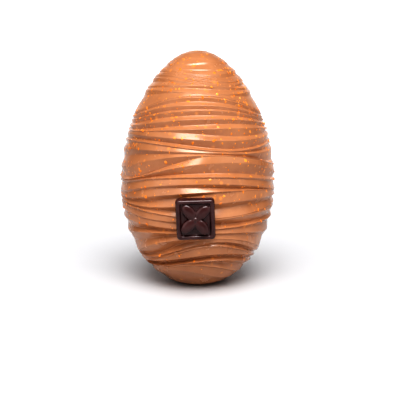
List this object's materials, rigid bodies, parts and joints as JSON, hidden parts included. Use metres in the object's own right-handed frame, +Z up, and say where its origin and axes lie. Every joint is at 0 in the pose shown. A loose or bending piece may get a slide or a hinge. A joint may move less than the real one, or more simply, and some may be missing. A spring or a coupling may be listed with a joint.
{
  "type": "chocolate egg",
  "caption": "Moulded milk chocolate egg with pleated sides and caramel chips, an upright dark chocolate plaque set low on its front.",
  "frame": {"origin": "middle of the flat spot that the egg stands on, on the egg's axis", "axes": "+Z up along the egg's axis to its narrow end, -Y out of the front, through the plaque, +X to the right of someone who faces the plaque"},
  "size_m": [0.1296, 0.135, 0.194],
  "materials": {
    "milk_chocolate": "satin to glossy milk chocolate with amber caramel chips",
    "dark_chocolate": "glossy dark chocolate"
  },
  "bodies": {
    "root": {"egg": "milk_chocolate", "plaque": "dark_chocolate"}
  },
  "joints": []
}
